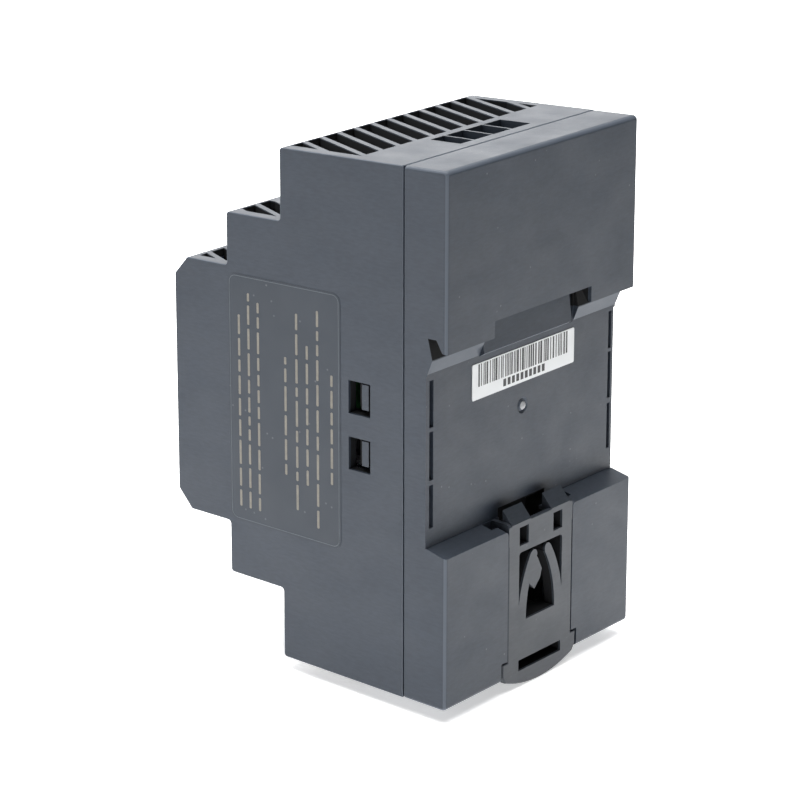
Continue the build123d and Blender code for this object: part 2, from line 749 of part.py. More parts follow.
# ================================================================ terminals
def terminal_block(poles, half_x, side):
    """Tall insulating block: one open cell a pole, and two legs that stand on the main board."""
    with BuildPart() as block:
        box_between(
            (-half_x, half_x),
            (block_front_y, block_rear_y),
            (side * block_inner_z, side * block_outer_z),
        )
        fillet(block.edges().filter_by(Axis.Y), 0.5)
        for x in poles:
            box_between(
                (x - cell_half_x, x + cell_half_x),
                (block_front_y - 1, cell_rear_y),
                (side * cell_z[0], side * cell_z[1]),
                Mode.SUBTRACT,
            )
            box_between(
                (x - tongue_half_x - play, x + tongue_half_x + play),
                (tongue_front_y - play, tongue_front_y + tongue_thickness + play),
                (side * (block_inner_z - 1), side * cell_z[0]),
                Mode.SUBTRACT,
            )
        with BuildSketch(Plane.XY.offset(side * block_outer_z)):
            with Locations(*[(x, wire_y) for x in poles]):
                Circle(wire_radius)
        extrude(amount=side * (cell_z[1] - block_outer_z), mode=Mode.SUBTRACT)
        for leg_side in (1, -1):
            box_between(
                (leg_side * (half_x - block_leg), leg_side * half_x),
                (block_rear_y - 1, board_front_y),
                (side * (block_inner_z + 0.6), side * (block_inner_z + 0.6 + block_leg_height)),
            )
    return block


def contact_bars(poles, side):
    """One bent copper bar a pole: a tongue inside the cage and a leg down to the main board."""
    with BuildPart() as bars:
        for x in poles:
            box_between(
                (x - tongue_half_x, x + tongue_half_x),
                (tongue_front_y, tongue_front_y + tongue_thickness),
                (side * tongue_z[0], side * tongue_z[1]),
            )
            box_between(
                (x - leg_half_x, x + leg_half_x),
                (tongue_front_y, board_front_y),
                (side * tongue_z[0], side * (tongue_z[0] + tongue_thickness)),
            )
    return bars


def clamp_cage(x, side):
    """Rising cage: a square frame that the screw draws forward, so that it pulls the wire on the bar."""
    low_z, high_z = sorted((side * cage_z[0], side * cage_z[1]))
    with BuildPart() as cage:
        box_between((x - cage_half_x, x + cage_half_x), (cage_front_y, cage_rear_y), (low_z, high_z))
        fillet(cage.edges().filter_by(Axis.Z), 0.4)
        box_between(
            (x - cage_window_half_x, x + cage_window_half_x),
            (cage_front_y + cage_front_wall, cage_rear_y - cage_wall),
            (low_z - 1, high_z + 1),
            Mode.SUBTRACT,
        )
        with BuildSketch(facing_front(cage_front_y)):
            with Locations((x, side * screw_z)):
                Circle(screw_radius + screw_clearance)
        extrude(amount=-cage_front_wall - 0.5, mode=Mode.SUBTRACT)
    return cage


def clamp_screw(x, side):
    """Clamp screw with a slot and cross in its head; its tip stops just short of the contact bar."""
    head_rear_y = screw_head_front_y + screw_head_thickness
    with BuildPart() as screw:
        with BuildSketch(facing_front(head_rear_y)):
            with Locations((x, side * screw_z)):
                Circle(screw_head_radius)
        extrude(amount=screw_head_thickness)
        fillet(screw.faces().sort_by(Axis.Y)[0].edges(), 0.3)
        with BuildSketch(facing_front(head_rear_y)):
            with Locations((x, side * screw_z)):
                Circle(screw_radius)
        extrude(amount=head_rear_y - (tongue_front_y - play))
        chamfer(screw.faces().sort_by(Axis.Y)[-1].edges(), 0.3)
        with BuildSketch(facing_front(screw_head_front_y)):
            with Locations((x, side * screw_z)):
                Rectangle(4.2, 0.7)
                Rectangle(0.7, 3.0)
        extrude(amount=-0.8, mode=Mode.SUBTRACT)
    return screw


save(terminal_block(output_pole_x, output_block_half, 1), "output_terminal_block")
save(terminal_block(input_pole_x, input_block_half, -1), "input_terminal_block")
save(contact_bars(output_pole_x, 1), "output_contact_bars")
save(contact_bars(input_pole_x, -1), "input_contact_bars")
for group, poles, side in (("output", output_pole_x, 1), ("input", input_pole_x, -1)):
    for number, x in enumerate(poles, start=1):
        save(clamp_screw(x, side), f"{group}_clamp_screw_{number}")
        save(clamp_cage(x, side), f"{group}_clamp_cage_{number}")

# ================================================================ boards
with BuildPart() as main_board:
    with BuildSketch(facing_front(board_rear_y)) as board_outline:
        Rectangle(2 * board_half_x, 2 * board_half_z)
        fillet(board_outline.vertices(), 1.0)
        with GridLocations(2 * peg_x, 2 * peg_z, 2, 2):
            Circle(peg_radius + 0.15, mode=Mode.SUBTRACT)
    extrude(amount=board_rear_y - board_front_y)
save(main_board, "main_board")

with BuildPart() as insulation_sheet:
    with BuildSketch(facing_front(-4.8)) as sheet_outline:
        Rectangle(2 * board_half_x, 2 * (peg_z - post_radius - 0.4))
        fillet(sheet_outline.vertices(), 1.0)
    extrude(amount=0.3)
save(insulation_sheet, "insulation_sheet")

with BuildPart() as control_board:
    with BuildSketch(Plane.YZ.offset(control_board_x)):
        with BuildLine():
            Polyline(
                (board_front_y, control_board_z[0]),
                (-30, control_board_z[0]),
                (control_board_front_y, 2.0),
                (control_board_front_y, control_board_z[1]),
                (board_front_y, control_board_z[1]),
                close=True,
            )
        make_face()
    extrude(amount=control_board_thickness)
save(control_board, "control_board")

with BuildPart() as control_chips:
    chip_x = (control_board_x - 1.6, control_board_x)
    for centre_y, centre_z, size_y, size_z in ((-16, 13, 5.0, 4.0), (-24, 12, 3.0, 3.0), (-33, 10, 2.9, 1.6)):
        box_between(
            chip_x,
            (centre_y - size_y / 2, centre_y + size_y / 2),
            (centre_z - size_z / 2, centre_z + size_z / 2),
        )
    chamfer(control_chips.faces().sort_by(Axis.X)[0].edges().filter_by(Axis.Y)[:1], 0.2)
save(control_chips, "control_chips")


# ================================================================ components on the main board
def standing_can(centres, radius, length, name):
    """Aluminium electrolytic capacitors standing on the board, with the rolled groove near the base."""
    with BuildPart() as cans:
        with BuildSketch(facing_front(board_front_y)):
            with Locations(*centres):
                Circle(radius)
        extrude(amount=length)
        fillet(cans.faces().sort_by(Axis.Y)[0].edges(), 0.6)
        groove_plane = facing_front(board_front_y - 2.0)
        with BuildSketch(groove_plane):
            with Locations(*centres):
                Circle(radius + 0.1)
                Circle(radius - 0.4, mode=Mode.SUBTRACT)
        extrude(amount=0.8, mode=Mode.SUBTRACT)
    save(cans, name)


def disc_part(x, z, radius, thickness, name):
    """Coated disc standing on edge on two leads."""
    lead_length = 2.5
    lead_spread = 2.5
    centre_y = board_front_y - radius - lead_length
    with BuildPart() as disc:
        with BuildSketch(Plane.XY.offset(z - thickness / 2)):
            with Locations((x, centre_y)):
                Circle(radius)
        extrude(amount=thickness)
        fillet(disc.edges().filter_by(GeomType.CIRCLE), thickness * 0.35)
        for side in (1, -1):
            lead_x = x + side * lead_spread
            box_between((lead_x - 0.3, lead_x + 0.3), (centre_y, board_front_y), (z - 0.3, z + 0.3))
    save(disc, name)


def tab_transistor(tab_x, inward, centre_z, name):
    """Three-legged power package, its metal tab flat on a heatsink at tab_x."""
    with BuildPart() as package:
        box_between(
            (tab_x, tab_x + inward * tab_thickness), (-30.5, -17.0), (centre_z - 5.0, centre_z + 5.0)
        )
        box_between(
            (tab_x, tab_x + inward * 4.4), (-24.5, -15.0), (centre_z - 5.1, centre_z + 5.1)
        )
        for offset_z in (-2.54, 0, 2.54):
            box_between(
                (tab_x + inward * 2.4, tab_x + inward * 2.9),
                (-15.0, board_front_y),
                (centre_z + offset_z - 0.4, centre_z + offset_z + 0.4),
            )
        with BuildSketch(Plane.YZ.offset(tab_x - inward)):
            with Locations((tab_hole_y, centre_z)):
                Circle(tab_screw_radius + 0.4)
        extrude(amount=inward * 4, mode=Mode.SUBTRACT)
    save(package, name)


def heatsink(inner_x, outward, low_z, high_z, hole_z, name):
    """Folded aluminium plate with two solder tabs and a tapped hole for the package's screw."""
    with BuildPart() as sink:
        plate_x = (inner_x, inner_x + outward * sink_thickness)
        box_between(plate_x, sink_y, (low_z, high_z))
        fold_y = (sink_y[0], sink_y[0] + sink_thickness)
        box_between((inner_x - outward * 5.0, inner_x), fold_y, (low_z, high_z))
        for tab_z in (low_z + 3, high_z - 3):
            box_between(plate_x, (sink_y[1], board_front_y), (tab_z - 1, tab_z + 1))
        with BuildSketch(Plane.YZ.offset(inner_x - outward)):
            with Locations((tab_hole_y, hole_z)):
                Circle(tab_screw_radius + 0.05)
        extrude(amount=outward * 4, mode=Mode.SUBTRACT)
    save(sink, name)


standing_can([(-14.6, -14.4)], 8.0, 30.0, "bulk_capacitor")
standing_can([(-14.4, 35.4), (-4.6, 35.4), (5.2, 35.4)], 4.6, 17.5, "output_capacitors")
disc_part(-17.0, -27.0, 5.0, 4.2, "varistor")
disc_part(0.0, -26.4, 4.5, 4.4, "inrush_thermistor")
disc_part(-19.6, 25.4, 3.4, 3.6, "safety_capacitor")

primary_sink_x = 20.0
primary_sink_z = (-21.6, -8.4)      # below the snap windows
primary_hole_z = -14.6
output_sink_x = -20.0
output_sink_z = (8.4, 20.6)         # above the snap windows
output_hole_z = 14.2
heatsink(primary_sink_x, 1, *primary_sink_z, primary_hole_z, "primary_heatsink")
heatsink(output_sink_x, -1, *output_sink_z, output_hole_z, "output_heatsink")
tab_transistor(primary_sink_x, -1, primary_hole_z, "power_transistor")
tab_transistor(output_sink_x, 1, output_hole_z, "output_rectifier")

with BuildPart() as heatsink_screws:
    for sink_x, inward, hole_z in ((primary_sink_x, -1, primary_hole_z), (output_sink_x, 1, output_hole_z)):
        head_x = sink_x + inward * tab_thickness
        head_thickness = 1.8
        with BuildSketch(Plane.YZ.offset(head_x)):
            with Locations((tab_hole_y, hole_z)):
                Circle(2.7)
        extrude(amount=inward * head_thickness)
        with BuildSketch(Plane.YZ.offset(head_x)):
            with Locations((tab_hole_y, hole_z)):
                Circle(tab_screw_radius)
        extrude(amount=-inward * (tab_thickness + sink_thickness + 0.7))
        with BuildSketch(Plane.YZ.offset(head_x + inward * head_thickness)):
            with Locations((tab_hole_y, hole_z)):
                Rectangle(3.0, 0.7)
                Rectangle(0.7, 3.0)
        extrude(amount=-inward * 0.9, mode=Mode.SUBTRACT)
save(heatsink_screws, "heatsink_screws")

with BuildPart() as line_fuse:
    with BuildSketch(facing_front(board_front_y)):
        with Locations((2.2, -37.2)):
            Circle(4.0)
    extrude(amount=7.7)
    fillet(line_fuse.faces().sort_by(Axis.Y)[0].edges(), 0.8)
save(line_fuse, "line_fuse")

with BuildPart() as line_filter_capacitor:
    box_between((-18.6, -2.4), (board_front_y - 15.0, board_front_y), (-41.0, -31.6))
    fillet(line_filter_capacitor.edges().filter_by(Axis.Y), 0.6)
    fillet(line_filter_capacitor.faces().sort_by(Axis.Y)[0].edges(), 0.5)
save(line_filter_capacitor, "line_filter_capacitor")

choke_centre = (14.2, -34.4)
choke_y = -13.6
ring_radius = 5.3
with BuildPart() as line_filter_core:
    with BuildSketch(facing_front(choke_y + 3)):
        with Locations(choke_centre):
            Circle(ring_radius + 1.5)
            Circle(ring_radius - 1.5, mode=Mode.SUBTRACT)
    extrude(amount=6)
    fillet(line_filter_core.edges().filter_by(GeomType.CIRCLE), 0.5)
save(line_filter_core, "line_filter_core")

turns_a_side = 7
turn_angle = 17.0
with BuildPart() as line_filter_windings:
    for middle_angle in (0, 180):
        first_angle = middle_angle - turn_angle * (turns_a_side - 1) / 2
        for turn in range(turns_a_side):
            angle = first_angle + turn * turn_angle
            spoke = Plane(
                Vector(choke_centre[0], choke_y, choke_centre[1]),
                x_dir=Vector(1, 0, 0).rotate(Axis.Y, angle),
                z_dir=Vector(0, 0, 1).rotate(Axis.Y, angle),
            )
            with BuildSketch(spoke):
                with Locations((ring_radius, 0)):
                    RectangleRounded(4.6, 7.6, 0.8)
                    RectangleRounded(3.3, 6.3, 0.3, mode=Mode.SUBTRACT)
            extrude(amount=0.4, both=True)
save(line_filter_windings, "line_filter_windings")

with BuildPart() as bridge_rectifier:
    box_between((-5.6, 14.4), (-26.0, -11.0), (-12.4, -9.0))
    chamfer(bridge_rectifier.edges().filter_by(Axis.Z).sort_by(Axis.X)[-2:].sort_by(Axis.Y)[:1], 2.5)
    for lead_x in (-3.2, 1.9, 7.0, 12.1):
        box_between((lead_x - 0.5, lead_x + 0.5), (-11.0, board_front_y), (-11.1, -10.5))
save(bridge_rectifier, "bridge_rectifier")

# ---------------------------------------------------------------- transformer
transformer_x = 0.2
transformer_z = 7.6
transformer_y = -21.4
core_half = 12.6
core_depth = 4.4
leg_width = 3.3
centre_leg = 4.0
bobbin_half_x = 9.1
bobbin_half_y = 9.4
bobbin_half_z = 9.1
flange = 0.9

with BuildPart() as transformer_core:
    with BuildSketch(facing_front(transformer_y)):
        with Locations((transformer_x, transformer_z)):
            Rectangle(2 * core_half, 2 * core_half)
            Rectangle(2 * (core_half - leg_width), 2 * (core_half - leg_width), mode=Mode.SUBTRACT)
            Rectangle(2 * centre_leg, 2 * core_half - 1)
    extrude(amount=core_depth, both=True)
    chamfer(transformer_core.edges().filter_by(Axis.Y).group_by(Axis.Z)[-1], 0.5)
save(transformer_core, "transformer_core")

tube_x = centre_leg + 0.1
tube_y = core_depth + 0.1
tube_wall = 0.7
pin_row = 3.0                # square section of the bobbin's two pin carriers
pin_pitch = 4.0


def round_transformer(half_x, half_y, low_z, high_z, mode=Mode.ADD):
    """Box centred on the transformer's axis between two heights above its middle."""
    box_between(
        (transformer_x - half_x, transformer_x + half_x),
        (transformer_y - half_y, transformer_y + half_y),
        (transformer_z + low_z, transformer_z + high_z),
        mode,
    )


with BuildPart() as transformer_bobbin:
    for low_z in (-bobbin_half_z, bobbin_half_z - flange):
        round_transformer(bobbin_half_x, bobbin_half_y, low_z, low_z + flange)
    round_transformer(tube_x + tube_wall, tube_y + tube_wall, -bobbin_half_z, bobbin_half_z)
    round_transformer(tube_x, tube_y, -bobbin_half_z - 1, bobbin_half_z + 1, Mode.SUBTRACT)
    # a pin carrier beyond each flange, joined to it by a bridge
    rear_face_y = transformer_y + bobbin_half_y
    for side in (1, -1):
        carrier_z = (transformer_z + side * (core_half - pin_row), transformer_z + side * core_half)
        bridge_z = (transformer_z + side * (bobbin_half_z - flange), transformer_z + side * core_half)
        box_between(
            (transformer_x - bobbin_half_x - 1.5, transformer_x + bobbin_half_x + 1.5),
            (rear_face_y - pin_row, rear_face_y),
            carrier_z,
        )
        box_between((transformer_x - 6, transformer_x + 6), (rear_face_y - pin_row, rear_face_y), bridge_z)
        for pin in range(-2, 3):
            pin_x = transformer_x + pin_pitch * pin
            pin_z = transformer_z + side * (core_half - pin_row / 2)
            box_between(
                (pin_x - solder_pin, pin_x + solder_pin),
                (rear_face_y, board_front_y),
                (pin_z - solder_pin, pin_z + solder_pin),
            )
save(transformer_bobbin, "transformer_bobbin")

winding_half_z = bobbin_half_z - flange - 0.1
with BuildPart() as transformer_winding:
    with BuildSketch(Plane.XY.offset(transformer_z)) as winding_outline:
        with Locations((transformer_x, transformer_y)):
            RectangleRounded(2 * bobbin_half_x - 0.6, 2 * bobbin_half_y - 1.2, 2.6)
            Rectangle(2 * (tube_x + tube_wall + 0.05), 2 * (tube_y + tube_wall + 0.05), mode=Mode.SUBTRACT)
    extrude(amount=winding_half_z, both=True)
save(transformer_winding, "transformer_winding")

# ---------------------------------------------------------------- output side
with BuildPart() as output_inductor:
    inductor_at = (14.8, 35.4)
    with BuildSketch(facing_front(board_front_y)):
        with Locations(inductor_at):
            Circle(4.2)
    extrude(amount=16.0)
    fillet(output_inductor.faces().sort_by(Axis.Y)[0].edges(), 0.7)
save(output_inductor, "output_inductor")

with BuildPart() as optocoupler:
    box_between((-3.3, 3.3), (board_front_y - 4.3, board_front_y - 0.9), (23.7, 28.3))
    chamfer(optocoupler.faces().sort_by(Axis.Y)[0].edges(), 0.3)
    for lead_x in (-1.27, 1.27):
        for lead_z in (23.2, 28.3):
            box_between(
                (lead_x - 0.4, lead_x + 0.4), (board_front_y - 2.6, board_front_y), (lead_z, lead_z + 0.5)
            )
save(optocoupler, "optocoupler")
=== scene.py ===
import json
import math
import random

import bmesh
import bpy
from mathutils import Matrix, Vector


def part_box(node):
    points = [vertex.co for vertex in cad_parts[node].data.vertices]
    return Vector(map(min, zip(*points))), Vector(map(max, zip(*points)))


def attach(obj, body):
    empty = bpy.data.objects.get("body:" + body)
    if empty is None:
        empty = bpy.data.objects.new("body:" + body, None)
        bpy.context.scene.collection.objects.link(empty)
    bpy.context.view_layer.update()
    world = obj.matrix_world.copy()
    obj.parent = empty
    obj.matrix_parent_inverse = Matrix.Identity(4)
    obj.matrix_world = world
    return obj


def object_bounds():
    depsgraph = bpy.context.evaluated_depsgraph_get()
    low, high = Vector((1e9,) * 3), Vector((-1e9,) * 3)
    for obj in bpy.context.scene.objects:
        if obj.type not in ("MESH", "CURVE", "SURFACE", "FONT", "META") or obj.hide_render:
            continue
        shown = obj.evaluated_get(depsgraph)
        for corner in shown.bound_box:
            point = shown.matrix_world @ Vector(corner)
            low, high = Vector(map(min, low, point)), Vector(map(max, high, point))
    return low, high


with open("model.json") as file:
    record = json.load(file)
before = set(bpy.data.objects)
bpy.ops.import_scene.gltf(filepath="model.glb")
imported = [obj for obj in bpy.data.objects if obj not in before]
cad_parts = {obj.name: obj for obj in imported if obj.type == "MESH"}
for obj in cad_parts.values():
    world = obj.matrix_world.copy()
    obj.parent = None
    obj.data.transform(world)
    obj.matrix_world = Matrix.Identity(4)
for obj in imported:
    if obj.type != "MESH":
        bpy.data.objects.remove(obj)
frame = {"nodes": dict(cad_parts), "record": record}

# Looks of the DIN rail power supply. The CAD nodes keep their shapes and get procedural finishes;
# the printed marks on the labels are built here. Metres throughout, in the frame's own axes:
# +X towards the labelled side, +Y back towards the wall, +Z up.

MM = 0.001
# painted highlight on the pip in the middle of the rail seat, within this radius
PIP_HIGHLIGHT_RADIUS = 0.74 * MM      # pale gate mark on the pip in the middle of the rail seat

# recesses that little light reaches, given painted shade; each a box between two corners in millimetres
HOOK_GROOVES = [((12.6, -0.4, 14.15), (26.2, 2.9, 18.1)), ((-26.2, -0.4, 14.15), (-12.2, 2.9, 18.4))]
SPRING_WELL = ((-6.6, -5, -38), (6.6, -0.2, -16.2))
BASE_VENTS = ((-24.2, -27.7, -44.8), (24.2, -13.7, 44.8))
MIDDLE_VENTS = ((-24.2, -38.7, -32.3), (24.2, -29.5, 32.3))
NOSE_VENTS = ((-24.2, -47.3, -22.9), (24.2, -40.7, 22.9))
SNAP_WINDOWS = ((-25.75, -15.0, -7.8), (25.75, -10.6, 7.8))
FOOT_WINDOWS = ((-6.2, -1, -45), (6.2, 3.1, -18.6))

# sockets of Blender's mix node, which has one set for plain values and another for colours
VALUE_A, VALUE_B, VALUE_OUT = 2, 3, 0
COLOUR_A, COLOUR_B, COLOUR_OUT = 6, 7, 2

cad_low, cad_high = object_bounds()
bodies = frame["record"]["behaviour"]["bodies"]
case = next(name for name, nodes in bodies.items() if "front_housing" in nodes)


def srgb(red, green, blue):
    """Linear colour from ordinary 0 to 255 screen values."""
    def linear(value):
        value /= 255
        return value / 12.92 if value <= 0.04045 else ((value + 0.055) / 1.055) ** 2.4

    return (linear(red), linear(green), linear(blue), 1.0)


def middle(node):
    """Centre of a node's box."""
    low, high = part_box(node)
    return (low + high) / 2


def nodes_with(part_of_name):
    """Names of the CAD nodes that contain a word, in order."""
    return sorted(name for name in frame["nodes"] if part_of_name in name)


# ---------------------------------------------------------------- finishes
class Finish:
    """A principled material whose colour, roughness and relief vary with the place on the object."""

    def __init__(self, name, colour, roughness, metallic=0.0):
        self.material = bpy.data.materials.new(name)
        self.material.use_nodes = True
        self.nodes = self.material.node_tree.nodes
        self.links = self.material.node_tree.links
        self.surface = self.nodes["Principled BSDF"]
        self.place = self.nodes.new("ShaderNodeTexCoord").outputs["Object"]
        self.surface.inputs["Base Color"].default_value = colour
        self.surface.inputs["Roughness"].default_value = roughness
        self.surface.inputs["Metallic"].default_value = metallic

    def current(self, name):
        """What now feeds one of the surface's inputs: a socket, or a plain value."""
        socket = self.surface.inputs[name]
        return socket.links[0].from_socket if socket.is_linked else socket.default_value

    def feed(self, socket, value):
        """Link a socket to another, or set it to a plain value."""
        if isinstance(value, bpy.types.NodeSocket):
            self.links.new(value, socket)
        else:
            socket.default_value = value

    def set(self, name, value):
        """Feed one of the surface's inputs."""
        self.feed(self.surface.inputs[name], value)

    def math(self, operation, first, second=0.0):
        node = self.nodes.new("ShaderNodeMath")
        node.operation = operation
        self.feed(node.inputs[0], first)
        self.feed(node.inputs[1], second)
        return node.outputs[0]

    def mix(self, factor, first, second):
        """Blend of two plain values."""
        node = self.nodes.new("ShaderNodeMix")
        self.feed(node.inputs["Factor"], factor)
        self.feed(node.inputs[VALUE_A], first)
        self.feed(node.inputs[VALUE_B], second)
        return node.outputs[VALUE_OUT]

    def mix_colours(self, factor, first, second, blend="MIX"):
        """Blend of two colours."""
        node = self.nodes.new("ShaderNodeMix")
        node.data_type = "RGBA"
        node.blend_type = blend
        self.feed(node.inputs["Factor"], factor)
        self.feed(node.inputs[COLOUR_A], first)
        self.feed(node.inputs[COLOUR_B], second)
        return node.outputs[COLOUR_OUT]

    def remap(self, value, low, high, new_low=0.0, new_high=1.0):
        """Carry a value from one range over to another, held within the new range."""
        node = self.nodes.new("ShaderNodeMapRange")
        self.feed(node.inputs["Value"], value)
        node.inputs["From Min"].default_value = low
        node.inputs["From Max"].default_value = high
        node.inputs["To Min"].default_value = new_low
        node.inputs["To Max"].default_value = new_high
        return node.outputs[0]

    def noise(self, size, detail=2.0, stretch=(1, 1, 1)):
        """Noise from 0 to 1 with features of about this size, drawn out along the axes by stretch."""
        mapping = self.nodes.new("ShaderNodeMapping")
        self.links.new(self.place, mapping.inputs["Vector"])
        mapping.inputs["Scale"].default_value = [1 / factor for factor in stretch]
        noise = self.nodes.new("ShaderNodeTexNoise")
        self.links.new(mapping.outputs[0], noise.inputs["Vector"])
        noise.inputs["Scale"].default_value = 1 / size
        noise.inputs["Detail"].default_value = detail
        return noise.outputs["Fac"]

    def cells(self, size, measure="EUCLIDEAN"):
        """Scattered cells of about this size: a node with each cell's colour and distance to its middle."""
        node = self.nodes.new("ShaderNodeTexVoronoi")
        node.distance = measure
        node.inputs["Scale"].default_value = 1 / size
        self.links.new(self.place, node.inputs["Vector"])
        return node

    def between(self, axis, low, high):
        """1 where the position along an axis (0, 1 or 2) lies between two values, else 0."""
        split = self.nodes.new("ShaderNodeSeparateXYZ")
        self.links.new(self.place, split.inputs[0])
        above = self.math("GREATER_THAN", split.outputs[axis], low)
        below = self.math("LESS_THAN", split.outputs[axis], high)
        return self.math("MULTIPLY", above, below)

    def inside(self, low, high):
        """1 inside the box between two corners, given in millimetres, else 0."""
        mask = 1.0
        for axis in range(3):
            mask = self.math("MULTIPLY", mask, self.between(axis, low[axis] * MM, high[axis] * MM))
        return mask

    def distance(self, point=(0, 0, 0)):
        """Distance from a point; the frame's origin is the middle of the rail seat."""
        span = self.nodes.new("ShaderNodeVectorMath")
        span.operation = "DISTANCE"
        span.inputs[1].default_value = point
        self.links.new(self.place, span.inputs[0])
        return span.outputs["Value"]

    def rounded_edges(self):
        """1 where the surface is turned away from all three axes, as on a rounded or bevelled edge."""
        square_to_axis, turned_away = 0.98, 0.90
        normal = self.nodes.new("ShaderNodeTexCoord").outputs["Normal"]
        split = self.nodes.new("ShaderNodeSeparateXYZ")
        self.links.new(normal, split.inputs[0])
        first, second, third = [self.math("ABSOLUTE", axis) for axis in split.outputs]
        squareness = self.math("MAXIMUM", self.math("MAXIMUM", first, second), third)
        return self.remap(squareness, square_to_axis, turned_away)

    def paint(self, mask, colour, roughness=None, metallic=None):
        """Change colour, and if asked roughness and metallic, by mask."""
        self.set("Base Color", self.mix_colours(mask, self.current("Base Color"), colour))
        if roughness is not None:
            self.set("Roughness", self.mix(mask, self.current("Roughness"), roughness))
        if metallic is not None:
            self.set("Metallic", self.mix(mask, self.current("Metallic"), metallic))

    def cloud(self, size, amount, stretch=(1, 1, 1)):
        """Slow lightening and darkening of the colour."""
        shade = self.remap(self.noise(size, 2.0, stretch), 0.3, 0.7, 1 - amount, 1 + amount)
        self.set("Base Color", self.mix_colours(1.0, self.current("Base Color"), shade, "MULTIPLY"))

    def sheen(self, size, amount, stretch=(1, 1, 1)):
        """Roughness that changes slowly from place to place."""
        change = self.remap(self.noise(size, 3.0, stretch), 0.3, 0.7, -amount, amount)
        self.set("Roughness", self.math("ADD", self.current("Roughness"), change))

    def grain(self, size, depth, detail=2.0, stretch=(1, 1, 1)):
        """Fine relief, added to any relief already there."""
        bump = self.nodes.new("ShaderNodeBump")
        bump.inputs["Strength"].default_value = 1.0
        bump.inputs["Distance"].default_value = depth
        self.links.new(self.noise(size, detail, stretch), bump.inputs["Height"])
        if self.surface.inputs["Normal"].is_linked:
            self.links.new(self.current("Normal"), bump.inputs["Normal"])
        self.set("Normal", bump.outputs[0])

    def specks(self, size, share, colour, strength=0.6):
        """Scattered specks of another colour, one in each of this share of cells of the given size."""
        cells = self.cells(size)
        tint = self.nodes.new("ShaderNodeSeparateColor")
        self.links.new(cells.outputs["Color"], tint.inputs[0])
        chosen = self.math("LESS_THAN", tint.outputs[0], share)
        spot = self.remap(cells.outputs["Distance"], 0.10, 0.22, strength, 0.0)
        self.paint(self.math("MULTIPLY", chosen, spot), colour)


def moulded_plastic(name, colour, roughness, grain_depth, dust):
    """Satin moulded plastic: fine spark-eroded grain, slow tone changes and a little dust."""
    finish = Finish(name, colour, roughness)
    finish.cloud(18 * MM, 0.05)
    finish.cloud(0.34 * MM, 0.09, (4.0, 4.0, 1.0))
    finish.sheen(5 * MM, 0.05, (1.5, 1.5, 1.0))
    finish.grain(0.16 * MM, grain_depth, 3.0)
    finish.grain(1.1 * MM, grain_depth * 1.2, 1.0)
    finish.specks(1.0 * MM, 0.03, srgb(150, 153, 156), dust)
    finish.set("Specular IOR Level", 0.36)
    return finish


def shade_recesses(finish, boxes, colour):
    """Paint shade into deep recesses: a darker colour, and dull."""
    dull = 0.95
    for low, high in boxes:
        finish.paint(finish.inside(low, high), colour, dull)


def housing_plastic():
    """Blue-grey plastic of both halves; painted highlight on edges and pip, painted shade inside recesses.
    """
    finish = moulded_plastic("housing_plastic", srgb(48, 55, 65), 0.50, 0.010 * MM, 0.2)
    # painted highlight: a paler colour on the rounded edges
    finish.paint(finish.rounded_edges(), srgb(80, 87, 97))
    # painted highlight: a pale spot on the pip, standing in for the light its dome catches
    finish.paint(finish.math("LESS_THAN", finish.distance(), PIP_HIGHLIGHT_RADIUS), srgb(168, 170, 172))
    # painted shade, almost black, inside the vents, snap windows, hook grooves and spring well
    shade_recesses(finish, [BASE_VENTS, MIDDLE_VENTS, NOSE_VENTS, SNAP_WINDOWS], srgb(22, 24, 27))
    shade_recesses(finish, [*HOOK_GROOVES, SPRING_WELL], srgb(12, 13, 15))
    return finish.material


def foot_plastic():
    """Slightly smoother and darker plastic of the sliding foot, with painted shade in its windows."""
    finish = moulded_plastic("foot_plastic", srgb(51, 56, 63), 0.46, 0.006 * MM, 0.12)
    # painted shade inside the foot's windows
    shade_recesses(finish, [FOOT_WINDOWS], srgb(18, 19, 22))
    return finish.material


def label_film():
    """Panel for the side print: the housing's own plastic with a smoother, slightly darker face."""
    finish = Finish("label_film", srgb(45, 52, 61), 0.48)
    finish.cloud(9 * MM, 0.04)
    finish.sheen(5 * MM, 0.05)
    finish.grain(0.22 * MM, 0.006 * MM, 2.0)
    finish.specks(1.2 * MM, 0.03, srgb(150, 153, 156), 0.2)
    finish.set("Specular IOR Level", 0.36)
    return finish.material


def white_paper():
    """Matt paper of the serial sticker."""
    finish = Finish("white_paper", srgb(222, 224, 225), 0.62)
    finish.cloud(5 * MM, 0.03)
    finish.grain(0.12 * MM, 0.004 * MM, 4.0)
    finish.sheen(3 * MM, 0.06)
    return finish.material


def front_film():
    """Satin film of the front label."""
    finish = Finish("front_film", srgb(60, 66, 74), 0.42)
    finish.cloud(12 * MM, 0.05)
    finish.grain(0.14 * MM, 0.004 * MM, 2.0)
    finish.sheen(6 * MM, 0.05)
    return finish.material


def clear_plastic():
    """Faintly green plastic of the lamp and its light pipe."""
    finish = Finish("clear_plastic", srgb(178, 214, 172), 0.16)
    finish.cloud(1.5 * MM, 0.08)
    finish.sheen(1.0 * MM, 0.04)
    finish.grain(0.6 * MM, 0.003 * MM)
    finish.set("Transmission Weight", 0.35)
    return finish.material


def small_moulding(name, colour, roughness=0.45):
    """Plain moulded part of a component: even colour with fine grain and handling marks."""
    finish = Finish(name, colour, roughness)
    finish.cloud(2.5 * MM, 0.07)
    finish.sheen(1.8 * MM, 0.07)
    finish.grain(0.12 * MM, 0.005 * MM, 2.0)
    return finish.material


def plated_metal(name, colour, roughness, direction):
    """Plated sheet or turned metal: drawn-out tool marks along one direction, faint stains."""
    finish = Finish(name, colour, roughness, 1.0)
    finish.cloud(2.2 * MM, 0.12)
    finish.sheen(0.35 * MM, 0.10, direction)
    finish.grain(0.10 * MM, 0.004 * MM, 2.0, direction)
    return finish.material


